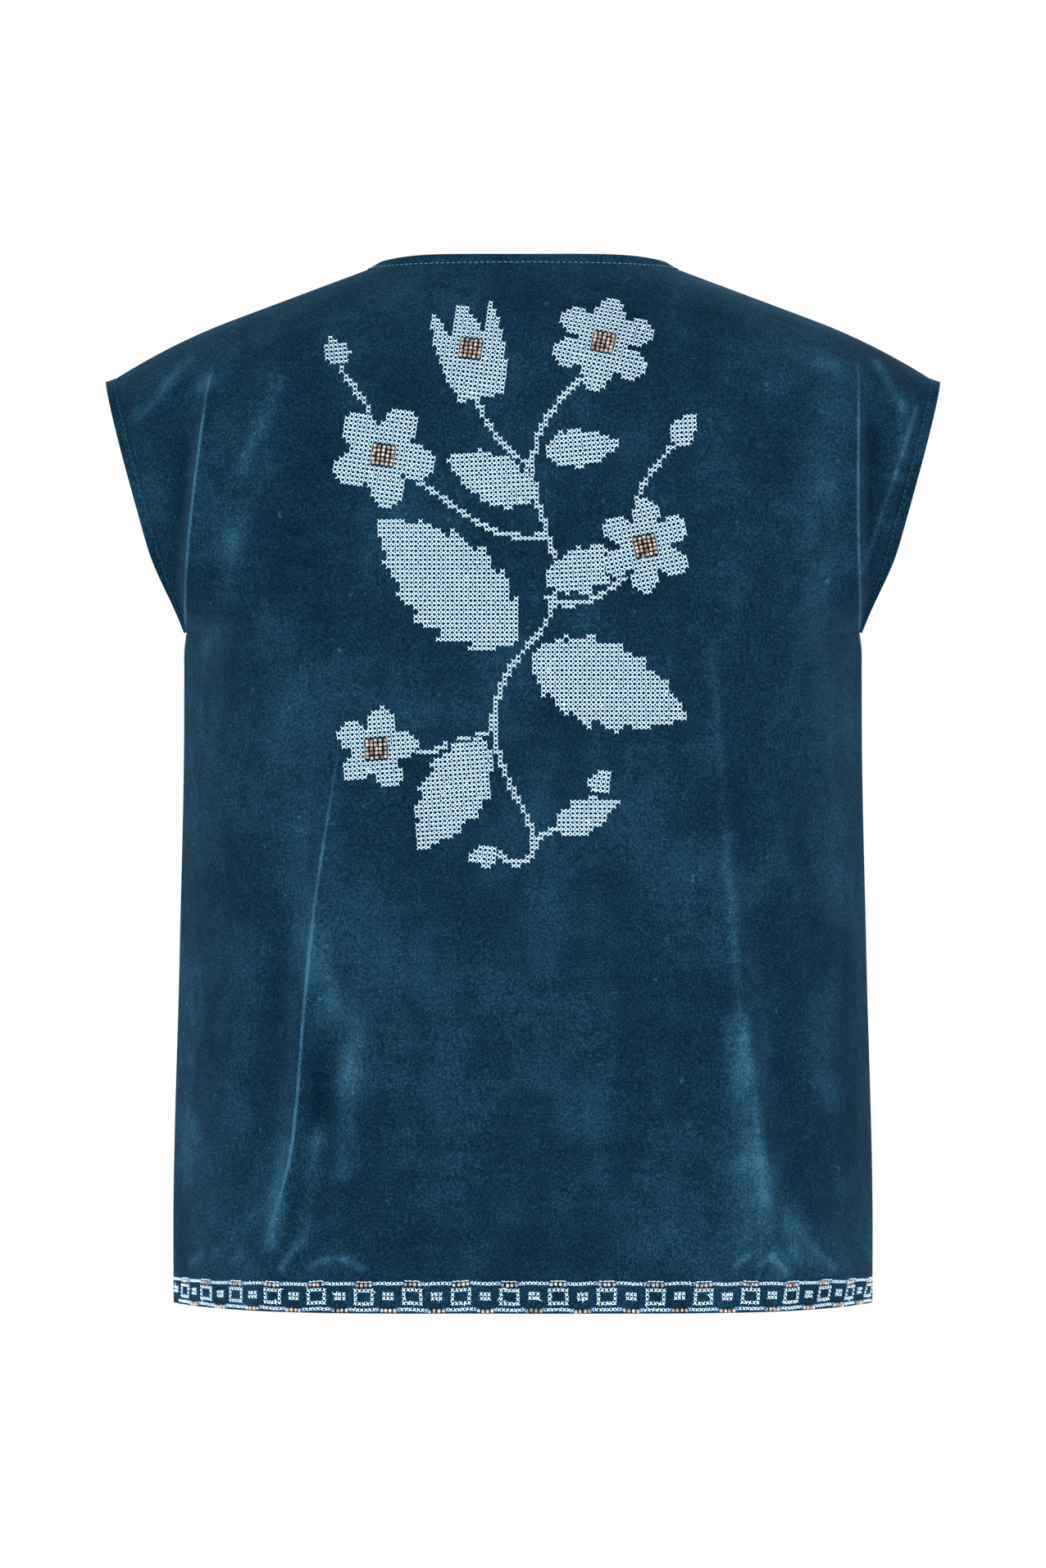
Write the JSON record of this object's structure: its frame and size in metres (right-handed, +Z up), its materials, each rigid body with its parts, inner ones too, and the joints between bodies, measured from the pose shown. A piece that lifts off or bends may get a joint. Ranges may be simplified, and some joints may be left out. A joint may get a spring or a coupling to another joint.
{
  "type": "velvet waistcoat",
  "caption": "Hollow velvet waistcoat with cap shoulders, open V-necked front edges, narrow edge bands and an embroidered hem band.",
  "frame": {"origin": "midway between the two neck points, where the wearer's shoulders hold the garment", "axes": "+Z up, the back faces -Y and the fronts face +Y, +X is the wearer's right"},
  "size_m": [0.4864, 0.2171, 0.6095],
  "materials": {
    "velvet": "cotton velvet, dark petrol blue, short pile with a soft sheen",
    "hem_band": "the same velvet, folded double and embroidered",
    "edge_band": "narrow strips of the same velvet with a line of stitching",
    "embroidery": "pale blue stranded cotton in cross stitch",
    "beads": "metal-coated glass seed beads, copper bronze"
  },
  "bodies": {
    "root": {"back_panel": "velvet", "front_panel_left": "velvet", "front_panel_right": "velvet", "hem_band_back": "hem_band", "hem_band_front_left": "hem_band", "hem_band_front_right": "hem_band", "neck_band_back": "edge_band", "front_band_left": "edge_band", "front_band_right": "edge_band", "armhole_band_left": "edge_band", "armhole_band_right": "edge_band"}
  },
  "joints": []
}
